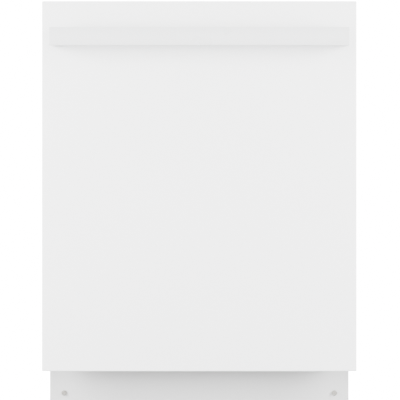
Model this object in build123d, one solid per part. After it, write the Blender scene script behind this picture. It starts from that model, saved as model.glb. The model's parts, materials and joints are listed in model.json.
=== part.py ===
"""A built-in dishwasher, 24 inch class: a pull-down door with a full-width bar handle and controls
hidden in its top edge, a stainless tub with two racks and three spray arms, and a steel base.

Frame: +Z up, the door faces -Y, origin on the floor at the centre of the whole outline. Millimetres.
"""
import os

from build123d import *

# ---------------------------------------------------------------- driving dimensions
WIDTH = 603.0  # door, side to side
HEIGHT = 850.0  # floor to the door's top edge, feet screwed right in
BODY_DEPTH = 610.0  # door's front face to the back
HANDLE_PROUD = 44.0
DOOR_HEIGHT = 709.0

REAR = (BODY_DEPTH + HANDLE_PROUD) / 2
FRONT = REAR - BODY_DEPTH  # the door's front face
DOOR_BOTTOM = HEIGHT - DOOR_HEIGHT
HALF = WIDTH / 2

# door build-up, front to back
SHEET = 1.0
PANEL_DEPTH = 25.0
LINER_SHEET = 1.2
PANEL_BACK = FRONT + PANEL_DEPTH
LINER_FACE = FRONT + 50.0  # the rim that meets the gasket
PLUG_FACE = FRONT + 62.0  # the raised middle, which reaches into the tub
LINER_HALF = 290.0
LINER_BOTTOM = 176.0
LINER_TOP = 826.0
PLUG_HALF = 256.0
PLUG_BOTTOM = 214.0
PLUG_TOP = 797.0

# hinge
PIVOT_Y = FRONT + 25.0
PIVOT_Z = 185.0
PIN_R = 4.0
RUNNING_GAP = 0.05
SECTOR_R = 45.0  # the cable quadrant on each hinge arm
BRACKET_X = 288.0
BRACKET_T = 3.0
ARM_X = 292.0
ARM_T = 3.0

# tub
TUB_SHEET = 1.5
TUB_HALF = 282.0
TUB_FRONT = FRONT + 54.0
TUB_BACK = 303.0
TUB_FLOOR = 205.0  # inside
TUB_CEILING = 834.5  # inside
MOUTH_HALF = 277.0
MOUTH_TOP = 802.0
LIP_HALF = 286.0
LIP_BOTTOM = 178.0
TRACK_TOP = 224.0
BLANKET_T = 8.0

# base
RAIL_SHEET = 1.5
RAIL_X = 288.0
RAIL_BOTTOM = 40.0
RAIL_TOP = 203.5
BASE_FRONT = -196.0
KICK_FACE = FRONT + 75.0
KICK_HALF = 293.0
KICK_BOTTOM = 6.0
KICK_TOP = 138.0
KICK_SCREW_X = 265.0
KICK_SCREW_Z = 90.5

# wash system, on one vertical axis
WASH_Y = 20.0
SUMP_R = 118.0
SPINDLE_R = 10.0
LOWER_ARM_Z = 234.0
MIDDLE_ARM_Z = 528.0
TOP_ARM_Z = 799.0
ARM_THICK = 14.0

# racks
RACK_FRONT = -203.0
RACK_BACK = 250.0
LOWER_HALF = 256.0
LOWER_Z = 264.0
LOWER_TOP = 420.0
UPPER_HALF = 248.0
UPPER_Z = 560.0
UPPER_TOP = 690.0
WHEEL_R = 15.0
WHEEL_Z = TRACK_TOP + 0.5 + WHEEL_R
RIM_R = 2.8
WIRE_R = 2.0
FINE_R = 1.8
TINE_R = 1.6
ROLLER_R = 10.2
RAIL_MID_Z = 640.0
ROLLER_YS = (-205.0, -150.0)
WHEEL_YS = (-110.0, 218.0)


# ---------------------------------------------------------------- helpers
def block(x0, x1, y0, y1, z0, z1):
    """A box between two corners."""
    size = (abs(x1 - x0), abs(y1 - y0), abs(z1 - z0))
    return Pos((x0 + x1) / 2, (y0 + y1) / 2, (z0 + z1) / 2) * Box(*size)


def rod(start, end, radius):
    """A round bar from one point to another."""
    a, b = Vector(*start), Vector(*end)
    plane = Plane(origin=a, z_dir=b - a)
    return extrude(plane * Circle(radius), (b - a).length)


def tube(start, end, radius, bore):
    return rod(start, end, radius) - rod(start, end, bore)


def join(pieces):
    """One shape from many, fused in one go."""
    pieces = list(pieces)
    return pieces[0].fuse(*pieces[1:]) if len(pieces) > 1 else pieces[0]


def pair(shape):
    """The shape and its mirror image on the other side, as separate solids."""
    return Compound(children=[*shape.solids(), *shape.mirror(Plane.YZ).solids()])


def group(*shapes):
    """Separate solids that share one node."""
    return Compound(children=[s for shape in shapes for s in shape.solids()])


def soft_block(x0, x1, y0, y1, z0, z1, radius, axis):
    """A box with the edges along one axis rounded."""
    shape = block(x0, x1, y0, y1, z0, z1)
    return fillet(shape.edges().filter_by(axis), radius)


def hex_screw(x, y, z, shank, head_r=5.2):
    """A hex washer-head screw driven along +Y, its flange's back face at y."""
    at = Plane(origin=(x, y, z), z_dir=(0, -1, 0))
    washer = extrude(at * Circle(head_r), 1.2)
    head = extrude(at.offset(1.2) * RegularPolygon(3.6, 6), 2.8)
    return washer + head + rod((x, y, z), (x, y + shank, z), 2.0)


# ---------------------------------------------------------------- door
def door_panel():
    outer = block(-HALF, HALF, FRONT, PANEL_BACK, DOOR_BOTTOM, HEIGHT)
    outer = fillet(outer.edges().filter_by(Axis.Z).group_by(Axis.Y)[0], 2.5)
    outer = fillet(outer.faces().sort_by(Axis.Y)[0].edges().filter_by(Axis.X), 2.0)
    inside = block(
        -HALF + SHEET, HALF - SHEET, FRONT + SHEET, PANEL_BACK + 1, DOOR_BOTTOM + SHEET, HEIGHT - SHEET
    )
    inside = fillet(inside.edges().filter_by(Axis.Z).group_by(Axis.Y)[0], 1.5)
    console_gap = block(-HALF + SHEET, HALF - SHEET, FRONT + 8, PANEL_BACK + 1, HEIGHT - 3, HEIGHT + 1)
    return outer - inside - console_gap


DISPENSER = (-150.0, 40.0, 520.0, 690.0)  # x0, x1, z0, z1 of the cut-out in the liner
VENT_X = 165.0
VENT_Z = 690.0
VENT_R = 38.0


def door_liner():
    rim = block(-LINER_HALF, LINER_HALF, PANEL_BACK + 1, LINER_FACE, LINER_BOTTOM, LINER_TOP)
    plug = soft_block(-PLUG_HALF, PLUG_HALF, LINER_FACE - 5, PLUG_FACE, PLUG_BOTTOM, PLUG_TOP, 18, Axis.Y)
    plug = fillet(plug.faces().sort_by(Axis.Y)[-1].edges(), 4)
    t = LINER_SHEET
    rim_inside = block(
        -LINER_HALF + t, LINER_HALF - t, PANEL_BACK, LINER_FACE - t, LINER_BOTTOM + t, LINER_TOP - t
    )
    plug_inside = soft_block(
        -PLUG_HALF + t,
        PLUG_HALF - t,
        LINER_FACE - 8,
        PLUG_FACE - t,
        PLUG_BOTTOM + t,
        PLUG_TOP - t,
        17,
        Axis.Y,
    )
    shell = (rim + plug) - rim_inside - plug_inside
    for side in (-1, 1):
        shell -= block(side * 286.5, side * 300, -300, -200, 150, 235)
    x0, x1, z0, z1 = DISPENSER
    shell -= soft_block(x0, x1, -300, -200, z0, z1, 12, Axis.Y)
    shell -= rod((VENT_X, -300, VENT_Z), (VENT_X, -200, VENT_Z), VENT_R)
    shell -= block(-16, 16, -240, -225, 816, 825)
    for z in ARM_SCREW_ZS:
        shell -= rod((-300, ARM_SCREW_Y, z), (300, ARM_SCREW_Y, z), ARM_SCREW_R + RUNNING_GAP)
    # pressed ribs under the dispenser
    for z in (300, 350, 400, 450):
        rib = soft_block(-200, 200, PLUG_FACE - 1, PLUG_FACE + 2, z, z + 14, 6.5, Axis.Y)
        shell += rib
    return shell


def door_insulation():
    return block(-286, 286, FRONT + SHEET, FRONT + 19, 160, 796)


BUTTON_XS = (-230.0, -180.0, -130.0, 230.0)
BUTTON_NAMES = ("cycle_button", "dry_button", "lock_button", "start_button")
BUTTON_Y = FRONT + 29.0
BUTTON_HALF = (16.0, 6.5)
BUTTON_GAP = 0.4


def control_console():
    z0, z1 = LINER_TOP, HEIGHT - 1
    half = HALF - SHEET
    outer = block(-half, half, FRONT + SHEET, LINER_FACE - 1.5, z0, z1)
    outer = fillet(outer.faces().sort_by(Axis.Z)[-1].edges().sort_by(Axis.Y)[-1], 3)
    outer = fillet(outer.edges().filter_by(Axis.Z).group_by(Axis.Y)[0], 1.5)
    inside = block(-half + 2.5, half - 2.5, FRONT + 4, LINER_FACE - 4, z0 - 1, z1 - 2.5)
    shell = outer - inside
    for x in BUTTON_XS:
        hx, hy = (h + BUTTON_GAP for h in BUTTON_HALF)
        shell -= soft_block(x - hx, x + hx, BUTTON_Y - hy, BUTTON_Y + hy, z1 - 5, z1 + 5, 4, Axis.Z)
    for i in range(6):  # a row of indicator windows
        x = 60 + 22 * i
        shell -= rod((x, BUTTON_Y, z1 - 0.8), (x, BUTTON_Y, z1 + 1), 2.2)
    return shell


def button(x):
    top = HEIGHT - 1 + 0.8
    hx, hy = BUTTON_HALF
    cap = soft_block(x - hx, x + hx, BUTTON_Y - hy, BUTTON_Y + hy, top - 4.5, top, 3.6, Axis.Z)
    cap = fillet(cap.faces().sort_by(Axis.Z)[-1].edges(), 0.6)
    flange = block(x - hx - 2, x + hx + 2, BUTTON_Y - hy - 2, BUTTON_Y + hy + 2, top - 6.5, top - 4.5)
    stem = block(x - 3, x + 3, BUTTON_Y - 3, BUTTON_Y + 3, 834.0, top - 6.5)
    return cap + flange + stem


HANDLE_HALF = 284.0
HANDLE_LOW = 761.5
HANDLE_HIGH = 795.5
HANDLE_BAR_T = 13.0


def handle():
    """A flat crowned bar on two end posts."""
    y0 = FRONT - HANDLE_PROUD
    half_h = (HANDLE_HIGH - HANDLE_LOW) / 2
    crown = 2.2
    with BuildPart() as made:
        with BuildSketch(Plane.YZ.offset(-HANDLE_HALF)):
            with BuildLine():
                front_low = (y0 + crown, HANDLE_LOW)
                front_high = (y0 + crown, HANDLE_HIGH)
                ThreePointArc(front_low, (y0, HANDLE_LOW + half_h), front_high)
                back_y = y0 + HANDLE_BAR_T
                Polyline(front_high, (back_y, HANDLE_HIGH), (back_y, HANDLE_LOW), front_low)
            make_face()
        extrude(amount=2 * HANDLE_HALF)
    bar = made.part
    ends = bar.faces().filter_by(Axis.X)
    corner = [e for f in ends for e in f.edges()]
    bar = fillet(corner, 1.2)
    posts = []
    for side in (-1, 1):
        outer, inner = side * HANDLE_HALF, side * (HANDLE_HALF - 26)
        post = soft_block(
            outer, inner, y0 + HANDLE_BAR_T, FRONT, HANDLE_LOW + 1.5, HANDLE_HIGH - 1.5, 5, Axis.Y
        )
        posts.append(post)
    return join([bar, *posts])


def bottom_seal():
    flap = block(-MOUTH_HALF, MOUTH_HALF, LINER_FACE, LINER_FACE + 3, 180, 200)
    return fillet(flap.edges().filter_by(Axis.X).group_by(Axis.Y)[-1], 1.4)


def dispenser_housing():
    """A moulded tray with a detergent cup under the sliding lid and a rinse-aid neck beside it."""
    x0, x1, z0, z1 = DISPENSER
    flange = soft_block(x0 - 6, x1 + 6, PLUG_FACE, PLUG_FACE + 2.4, z0 - 6, z1 + 6, 16, Axis.Y)
    body = soft_block(x0 + 0.5, x1 - 0.5, FRONT + 22, PLUG_FACE, z0 + 0.5, z1 - 0.5, 11, Axis.Y)
    cup = soft_block(-134, -54, FRONT + 30, PLUG_FACE + 5, 600, 672, 14, Axis.Y)
    lid_seat = soft_block(-142, -46, PLUG_FACE - 4, PLUG_FACE + 5, 534, 680, 6, Axis.Y)
    neck = rod((0, FRONT + 34, 640), (0, PLUG_FACE + 5, 640), 16)
    sight = rod((0, FRONT + 50, 580), (0, PLUG_FACE + 5, 580), 7)
    return flange + body - cup - lid_seat - neck - sight




def dispenser_lid():
    lid = soft_block(-141.5, -46.5, PLUG_FACE - 3.6, PLUG_FACE + 1.5, 594, 679, 5, Axis.Y)
    ribs = [block(-120, -68, PLUG_FACE + 1.5, PLUG_FACE + 3.2, z, z + 3) for z in (604, 612, 620)]
    return join([lid, *ribs])


def rinse_aid_cap():
    neck = rod((0, FRONT + 40, 640), (0, PLUG_FACE + 1.8, 640), 15.5)
    knob = rod((0, PLUG_FACE + 2.7, 640), (0, PLUG_FACE + 7, 640), 19)
    stem = rod((0, PLUG_FACE + 1.8, 640), (0, PLUG_FACE + 2.7, 640), 15.5)
    grip = block(-16, 16, PLUG_FACE + 7, PLUG_FACE + 11, 637, 643)
    return join([neck, stem, knob, grip])


def door_vent():
    y0 = FRONT + 30
    body = tube((VENT_X, y0, VENT_Z), (VENT_X, PLUG_FACE, VENT_Z), VENT_R - 0.4, VENT_R - 3)
    flange = tube((VENT_X, PLUG_FACE, VENT_Z), (VENT_X, PLUG_FACE + 2.5, VENT_Z), VENT_R + 6, VENT_R - 3)
    floor = rod((VENT_X, y0, VENT_Z), (VENT_X, y0 + 2, VENT_Z), VENT_R - 0.4)
    slats = []
    for i in range(-3, 4):
        z = VENT_Z + i * 9
        half = (VENT_R**2 - (abs(i) * 9 + 1.5) ** 2) ** 0.5 - 1
        slats.append(block(VENT_X - half, VENT_X + half, PLUG_FACE - 4, PLUG_FACE + 1, z - 1.5, z + 1.5))
    return join([body, flange, floor, *slats])


def hinge_arm():
    """Right-hand arm: a flat bar up the door's side, its hub on the pin, and the cable quadrant."""
    x0, x1 = ARM_X, ARM_X + ARM_T
    bar = block(x0, x1, PIVOT_Y - 12, PIVOT_Y + 9, PIVOT_Z, 430)
    hub = rod((x0, PIVOT_Y, PIVOT_Z), (x1, PIVOT_Y, PIVOT_Z), 12)
    disc = rod((x0, PIVOT_Y, PIVOT_Z), (x1, PIVOT_Y, PIVOT_Z), SECTOR_R)
    quadrant = disc & block(x0 - 1, x1 + 1, PIVOT_Y, PIVOT_Y + 60, PIVOT_Z, PIVOT_Z + 60)
    arm = join([bar, hub, quadrant])
    arm -= rod((x0 - 1, PIVOT_Y + 20, PIVOT_Z + 20), (x1 + 1, PIVOT_Y + 20, PIVOT_Z + 20), 8)
    for z in ARM_SCREW_ZS:
        arm -= rod((x0 - 1, ARM_SCREW_Y, z), (x1 + 1, ARM_SCREW_Y, z), ARM_SCREW_R + RUNNING_GAP)
    return arm - rod((x0 - 1, PIVOT_Y, PIVOT_Z), (x1 + 1, PIVOT_Y, PIVOT_Z), PIN_R + RUNNING_GAP)


def latch_housing():
    box = block(-34, 34, FRONT + 22, FRONT + 46, 798, 824)
    hollow = block(-14, 14, FRONT + 24, FRONT + 47, 800, 825)
    return box - hollow


def latch_hook():
    """A pawl on its own cross pin, lying clear under the strike's tongue."""
    y, z = FRONT + 30, 806
    pin = rod((-13.5, y, z), (13.5, y, z), 2.5)
    arm = block(-6, 6, y - 3, FRONT + 45, z - 3, z + 3)
    tip = block(-4, 4, FRONT + 40, FRONT + 44.5, z + 3, 812.5)
    return join([pin, arm, tip])


ARM_SCREW_ZS = (250.0, 330.0, 410.0)
ARM_SCREW_Y = FRONT + 30.0
ARM_SCREW_R = 2.0


def arm_screws():
    """Screws that hold each hinge arm to the liner's side wall."""
    out = []
    for z in ARM_SCREW_ZS:
        inside, face = LINER_HALF - LINER_SHEET - 2, ARM_X + ARM_T
        shank = rod((inside, ARM_SCREW_Y, z), (face, ARM_SCREW_Y, z), ARM_SCREW_R)
        out.append(shank + rod((face, ARM_SCREW_Y, z), (face + 1.8, ARM_SCREW_Y, z), 4))
    return pair(group(*out))


# ---------------------------------------------------------------- tub and seals
def tub():
    t = TUB_SHEET
    outer = block(-TUB_HALF, TUB_HALF, TUB_FRONT, TUB_BACK, TUB_FLOOR - t, TUB_CEILING + t)
    outer = fillet(outer.edges().filter_by(Axis.Y), 16)
    inner = block(-TUB_HALF + t, TUB_HALF - t, TUB_FRONT - 5, TUB_BACK - t, TUB_FLOOR, TUB_CEILING)
    inner = fillet(inner.edges().filter_by(Axis.Y), 14.5)
    lip = block(-LIP_HALF, LIP_HALF, TUB_FRONT, TUB_FRONT + t, LIP_BOTTOM, TUB_CEILING + t)
    mouth = soft_block(
        -MOUTH_HALF, MOUTH_HALF, TUB_FRONT - 5, TUB_FRONT + 5, TUB_FLOOR, MOUTH_TOP, 10, Axis.Y
    )
    shell = (outer - inner) + (lip - mouth)
    tracks = []
    for side in (-1, 1):
        shelf = block(
            side * 262, side * (TUB_HALF - 1), TUB_FRONT + 12, TUB_BACK - 8, TRACK_TOP - 1.5, TRACK_TOP
        )
        guard = block(side * 262, side * 263.5, TUB_FRONT + 12, TUB_BACK - 8, TRACK_TOP - 8, TRACK_TOP)
        tracks += [shelf, guard]
        for y in ROLLER_YS:
            tracks.append(rod((side * 266, y, RAIL_MID_Z), (side * (TUB_HALF - 1), y, RAIL_MID_Z), 3))
            tracks.append(rod((side * 277, y, RAIL_MID_Z), (side * (TUB_HALF - 1), y, RAIL_MID_Z), 7))
    # shallow swaged panels in the side and rear walls
    for side in (-1, 1):
        tracks.append(block(side * 279.5, side * (TUB_HALF - 1), -120, 240, 720, 732))
        tracks.append(block(side * 279.5, side * (TUB_HALF - 1), -120, 240, 470, 482))
    shell = join([shell, *tracks])
    shell -= rod((0, WASH_Y, TUB_FLOOR - 5), (0, WASH_Y, TUB_FLOOR + 5), SUMP_R - 6)
    return shell


def tub_insulation():
    """The sound blanket: one sheet over both sides and the top, and another on the back."""
    t = BLANKET_T
    z0, z1 = 262.0, TUB_CEILING + TUB_SHEET
    outer = block(-TUB_HALF - t, TUB_HALF + t, TUB_FRONT + 30, TUB_BACK, z0, z1 + t)
    outer = fillet(outer.edges().filter_by(Axis.Y).group_by(Axis.Z)[-1], 22)
    inner = block(-TUB_HALF, TUB_HALF, TUB_FRONT - 5, TUB_BACK + 5, z0 - 5, z1)
    inner = fillet(inner.edges().filter_by(Axis.Y).group_by(Axis.Z)[-1], 16)
    hood = outer - inner
    back = block(-TUB_HALF + 6, TUB_HALF - 6, TUB_BACK, TUB_BACK + t, 230, z1 - 6)
    return group(hood, back)


def door_gasket():
    """The U-shaped bulb seal on the tub's front lip: up one side, over the top and down the other."""
    y0, y1 = TUB_FRONT - 3.7, TUB_FRONT
    outer = soft_block(-285.5, 285.5, y0, y1, 206, 816, 8, Axis.Y)
    inner = soft_block(-278, 278, y0 - 1, y1 + 1, 150, 806, 5, Axis.Y)
    seal = outer - inner
    return fillet(seal.faces().sort_by(Axis.Y)[0].edges(), 1.5)


def heater_element():
    """A sheathed loop just above the floor, with its two ends through the floor at the back."""
    r, z = 190.0, 214.0
    ring = Pos(0, WASH_Y, z) * Torus(r, 3.4)
    gap = block(-26, 26, WASH_Y + 150, WASH_Y + 220, z - 6, z + 6)
    y_end = WASH_Y + (r**2 - 26**2) ** 0.5
    ends = []
    for side in (-1, 1):
        ends.append(rod((side * 26, y_end, z + 3.4), (side * 26, y_end, TUB_FLOOR), 3.6))
    return join([ring - gap, *ends])


# ---------------------------------------------------------------- base
def base_frame():
    """Two side channels, a front and a back crossmember and the corner gussets."""
    s = RAIL_SHEET
    pieces = []
    for side in (-1, 1):
        web = block(side * RAIL_X, side * (RAIL_X - s), BASE_FRONT, 300, RAIL_BOTTOM, RAIL_TOP)
        for y0, y1 in ((-140, -30), (0, 110), (140, 250)):
            web -= soft_block(side * 295, side * 280, y0, y1, 75, 165, 12, Axis.X)
        top = block(side * RAIL_X, side * 264, BASE_FRONT, 300, RAIL_TOP - s, RAIL_TOP)
        bottom = block(side * RAIL_X, side * 250, BASE_FRONT, 300, RAIL_BOTTOM, RAIL_BOTTOM + s)
        pieces += [web, top, bottom]
    for y in (BASE_FRONT, 300 - s):
        cross = block(-RAIL_X + s, RAIL_X - s, y, y + s, RAIL_BOTTOM, 84)
        inward = 14 if y < 0 else -14 + s
        flange = block(-RAIL_X + s, RAIL_X - s, y, y + inward, RAIL_BOTTOM, RAIL_BOTTOM + s)
        pieces += [cross, flange]
    for side in (-1, 1):  # ears that take the kick plate's screws
        pieces.append(block(side * (RAIL_X - s), side * 248, BASE_FRONT, BASE_FRONT + s, 84, 130))
    frame = join(pieces)
    for x, y in LEG_SPOTS:
        frame -= rod((x, y, RAIL_BOTTOM - 5), (x, y, RAIL_BOTTOM + 10), LEG_STUD_R + RUNNING_GAP)
    for side in (-1, 1):
        x = side * KICK_SCREW_X
        frame -= rod((x, -220, KICK_SCREW_Z), (x, -180, KICK_SCREW_Z), 2.3)
    frame -= rod((OUTLET_X, 290, OUTLET_Z), (OUTLET_X, 310, OUTLET_Z), OUTLET_R + 1.0)
    return frame


LEG_X, LEG_FRONT_Y, LEG_BACK_Y = 262.0, -170.0, 272.0
LEG_SPOTS = [(side * LEG_X, y) for side in (-1, 1) for y in (LEG_FRONT_Y, LEG_BACK_Y)]
LEG_STUD_R = 5.0


def leg(x, y):
    """A levelling leg: a round foot pad, a hex collar under the rail, and its threaded stud."""
    pad = Pos(x, y, 5) * Cylinder(19, 10)
    pad = fillet(pad.edges().filter_by(GeomType.CIRCLE), 1.5)
    neck = rod((x, y, 10), (x, y, 26), 8)
    collar = Pos(x, y, 26) * extrude(RegularPolygon(12, 6), RAIL_BOTTOM - 26.4)
    stud = rod((x, y, RAIL_BOTTOM - 2), (x, y, 96), LEG_STUD_R)
    return join([pad, neck, collar, stud])


def kick_plate():
    """The recessed toe panel: a folded sheet, spaced off the base frame behind its two screws."""
    t = 1.2
    face = block(-KICK_HALF, KICK_HALF, KICK_FACE, KICK_FACE + t, KICK_BOTTOM, KICK_TOP)
    top = block(-KICK_HALF, KICK_HALF, KICK_FACE, KICK_FACE + 10, KICK_TOP - t, KICK_TOP)
    sides = [
        block(side * KICK_HALF, side * (KICK_HALF - t), KICK_FACE, KICK_FACE + 11, KICK_BOTTOM, KICK_TOP)
        for side in (-1, 1)
    ]
    spacers = [
        block(
            side * (KICK_SCREW_X - 9),
            side * (KICK_SCREW_X + 9),
            KICK_FACE + t,
            BASE_FRONT,
            KICK_SCREW_Z - 20,
            KICK_SCREW_Z + 10,
        )
        for side in (-1, 1)
    ]
    plate = join([face, top, *sides, *spacers])
    for side in (-1, 1):
        x = side * KICK_SCREW_X
        plate -= rod((x, KICK_FACE - 5, KICK_SCREW_Z), (x, BASE_FRONT + 5, KICK_SCREW_Z), 2.6)
    return plate


def kick_screws():
    return group(*(hex_screw(side * KICK_SCREW_X, KICK_FACE, KICK_SCREW_Z, 22) for side in (-1, 1)))


def mounting_brackets():
    """Two tabs on the tub's top front edge that screw up into a worktop."""
    tabs = []
    for x in (-MOUNT_X, MOUNT_X):
        flat = block(x - 16, x + 16, TUB_FRONT + 2, TUB_FRONT + 28, MOUNT_Z - 1.5, MOUNT_Z)
        leg_down = block(x - 16, x + 16, TUB_FRONT + 26.5, TUB_FRONT + 28, TUB_CEILING + TUB_SHEET, MOUNT_Z)
        hole = rod((x, MOUNT_Y, MOUNT_Z - 5), (x, MOUNT_Y, MOUNT_Z + 5), 2.5)
        tabs.append(flat + leg_down - hole)
    return group(*tabs)


MOUNT_X, MOUNT_Y, MOUNT_Z = 180.0, TUB_FRONT + 13.0, 849.0


def latch_strike():
    """A plate on the tub's top lip with a tongue that reaches into the door."""
    plate = block(-18, 18, TUB_FRONT - 1.2, TUB_FRONT, 818, 834)
    tongue = block(-10, 10, TUB_FRONT - 14, TUB_FRONT - 1.2, 819.5, 821.5)
    window = block(-5, 5, TUB_FRONT - 12, TUB_FRONT - 4, 815, 825)
    return join([plate, tongue]) - window


def hinge_bracket():
    """Right-hand bracket: a plate on the side rail whose nose carries the hinge pin."""
    x0, x1 = BRACKET_X, BRACKET_X + BRACKET_T
    plate = block(x0, x1, -196, -120, 168, 203)
    nose = block(x0, x1, PIVOT_Y, -190, PIVOT_Z + 2, 203)
    boss = rod((x0, PIVOT_Y, PIVOT_Z), (x1, PIVOT_Y, PIVOT_Z), 10)
    pin = rod((x0, PIVOT_Y, PIVOT_Z), (ARM_X + ARM_T + 0.6, PIVOT_Y, PIVOT_Z), PIN_R)
    head = rod((ARM_X + ARM_T + 0.6, PIVOT_Y, PIVOT_Z), (ARM_X + ARM_T + 2.6, PIVOT_Y, PIVOT_Z), 7)
    spacer = rod((x1, PIVOT_Y, PIVOT_Z), (ARM_X - 0.3, PIVOT_Y, PIVOT_Z), 7)
    return join([plate, nose, boss, pin, head, spacer])


CABLE_R = 1.5
CABLE_Z = PIVOT_Z + SECTOR_R + CABLE_R + 0.4
LINK_FRONT, LINK_BACK = -152.0, -128.0
SPRING_BACK = 60.0
SPRING_R = 6.0


def balance_cable():
    x = ARM_X + ARM_T / 2
    return rod((x, PIVOT_Y + 9.6, CABLE_Z), (x, LINK_FRONT, CABLE_Z), CABLE_R)


def spring_link():
    """The clip between a balance cable and its spring."""
    x = ARM_X + ARM_T / 2
    clip = soft_block(x - 3, x + 3, LINK_FRONT, LINK_BACK, CABLE_Z - 6, CABLE_Z + 6, 2.5, Axis.X)
    return clip


def door_spring():
    """The closed outer shape of a balance spring, with its rear hook on the rail's anchor."""
    x = ARM_X + ARM_T / 2
    return rod((x, LINK_BACK, CABLE_Z), (x, SPRING_BACK, CABLE_Z), SPRING_R)


def spring_anchor():
    """The tab that holds a spring's back end, bolted to the rail's web."""
    x0 = RAIL_X
    foot = block(x0, x0 + 2, SPRING_BACK, SPRING_BACK + 30, 168, 203)
    riser = block(x0, x0 + 11.5, SPRING_BACK, SPRING_BACK + 2.5, 190, CABLE_Z + 8)
    return join([foot, riser])


# ---------------------------------------------------------------- wash system
def sump():
    y = WASH_Y
    bowl = Pos(0, y, 162) * Cylinder(SUMP_R, 76) - Pos(0, y, 167) * Cylinder(SUMP_R - 4, 76)
    flange = tube((0, y, 199), (0, y, TUB_FLOOR - TUB_SHEET), SUMP_R + 10, SUMP_R - 4)
    well = Pos(FILTER_X, FILTER_Y, 112) * Cylinder(40, 30)
    well_bore = Pos(FILTER_X, FILTER_Y, 116) * Cylinder(36, 30)
    tower = rod((0, y, 124), (0, y, 231), 15)
    spindle = rod((0, y, 231), (0, y, LOWER_ARM_Z + ARM_THICK + 2), SPINDLE_R)
    outlet = rod((SUMP_R - 3, y, 145), (PUMP_X, y, 145), 18)
    drain = rod((-SUMP_R + 3, y, 140), (-134, y, 140), 12)
    made = join([bowl, flange, well, tower, spindle, outlet, drain])
    return made - well_bore


FILTER_X, FILTER_Y, FILTER_R = 58.0, 64.0, 32.0
PUMP_X = 132.0
PUMP_Z = 120.0


def filter_plate():
    """The fine screen that lies on the tub floor over the sump."""
    disc = Pos(0, WASH_Y, TUB_FLOOR + 0.75) * Cylinder(SUMP_R - 2, 1.5)
    disc -= rod((0, WASH_Y, 190), (0, WASH_Y, 220), 15.6)
    disc -= rod((FILTER_X, FILTER_Y, 190), (FILTER_X, FILTER_Y, 220), FILTER_R + 1)
    return disc


def filter_cylinder():
    """The twist-out filter: a mesh cylinder with a rim and a grip bar."""
    x, y, r = FILTER_X, FILTER_Y, FILTER_R
    wall = tube((x, y, 112), (x, y, 208), r - 1, r - 3.5)
    rim = tube((x, y, 207), (x, y, 211), r + 4, r - 3.5)
    grip = block(x - r + 1.2, x + r - 1.2, y - 2.5, y + 2.5, 204, 220)
    bands = [tube((x, y, z), (x, y, z + 3), r + 0.2, r - 2) for z in (114, 140, 166, 192)]
    return join([wall, rim, grip, *bands])


def wash_pump():
    """The circulation pump: a volute, its motor can and an end cap, lying on its side."""
    y, z = WASH_Y, PUMP_Z
    volute = rod((PUMP_X, y, z), (PUMP_X + 32, y, z), 50)
    volute = fillet(volute.edges().filter_by(GeomType.CIRCLE), 8)
    can = rod((PUMP_X + 31, y, z), (PUMP_X + 104, y, z), 40)
    cap = rod((PUMP_X + 103, y, z), (PUMP_X + 112, y, z), 34)
    fins = [tube((x, y, z), (x + 3, y, z), 43, 39) for x in range(int(PUMP_X) + 44, int(PUMP_X) + 98, 9)]
    feet = [block(PUMP_X + 50, PUMP_X + 66, y - 30, y + 30, RAIL_BOTTOM + 30, 90)]
    return join([volute, can, cap, *fins, *feet])


def drain_pump():
    y, z = WASH_Y, 140
    volute = rod((-134, y, z), (-152, y, z), 30)
    can = rod((-152, y, z), (-206, y, z), 24)
    ribs = [tube((x, y, z), (x - 3, y, z), 26.5, 23) for x in range(-160, -200, -10)]
    spout = tube((-143, y + 26, z), (-143, y + 56, z), 11, 8)
    return join([volute, can, *ribs]) + spout


OUTLET_X, OUTLET_Z, OUTLET_R = -190.0, 66.0, 10.0


def drain_outlet():
    """A hose spigot through the back crossmember."""
    y = 300.0
    spigot = rod((OUTLET_X, y - 30, OUTLET_Z), (OUTLET_X, REAR, OUTLET_Z), OUTLET_R)
    collar = rod((OUTLET_X, y, OUTLET_Z), (OUTLET_X, y + 2.5, OUTLET_Z), OUTLET_R + 7)
    bore = rod((OUTLET_X, y - 31, OUTLET_Z), (OUTLET_X, REAR + 1, OUTLET_Z), OUTLET_R - 2.5)
    return join([spigot, collar]) - bore


def hose(points, radius, bends):
    path = FilletPolyline(*points, radius=bends)
    start = path @ 0
    section = Plane(origin=start, z_dir=path % 0)
    return sweep(section * Circle(radius), path=path)


def water_hoses():
    """The drain hose from its pump to the outlet, and the fill hose from the valve to the tub."""
    drain = hose(
        [
            (-143, WASH_Y + 56, 140),
            (-143, WASH_Y + 130, 140),
            (-190, WASH_Y + 190, 66),
            (-190, 270, 66),
        ],
        10.0,
        28,
    )
    fill = hose(
        [
            (VALVE_X, VALVE_Y + 26, VALVE_Z),
            (VALVE_X, VALVE_Y + 90, VALVE_Z),
            (VALVE_X, VALVE_Y + 90, TUB_FLOOR - TUB_SHEET),
        ],
        7.0,
        24,
    )
    return group(drain, fill)


VALVE_X, VALVE_Y, VALVE_Z = -215.0, -140.0, 100.0
VALVE_BORE = 8.2


def inlet_valve():
    """The water valve: a body with a female inlet facing down, a coil on top, an outlet spout."""
    x, y, z = VALVE_X, VALVE_Y, VALVE_Z
    body = block(x - 16, x + 16, y - 16, y + 14, z - 16, z + 16)
    inlet = rod((x, y, z - 30), (x, y, z - 15), 13)
    spout = rod((x, y + 13, z), (x, y + 26, z), 6)
    coil = rod((x, y, z + 15), (x, y, z + 46), 14)
    coil_cap = rod((x, y, z + 46), (x, y, z + 50), 9)
    foot = block(-270, x - 25, y + 14, y + 16, RAIL_BOTTOM + RAIL_SHEET, z + 10)
    bracket = block(x - 26, x + 24, y + 14, y + 16, z - 14, z + 10)
    made = join([body, inlet, spout, coil, coil_cap, foot, bracket])
    return made - rod((x, y, z - 31), (x, y, z - 12), VALVE_BORE)


BOX_X, BOX_Y = (200.0, 270.0), (-150.0, -80.0)
KNOCKOUT_X, KNOCKOUT_R = 225.0, 11.1


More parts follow.
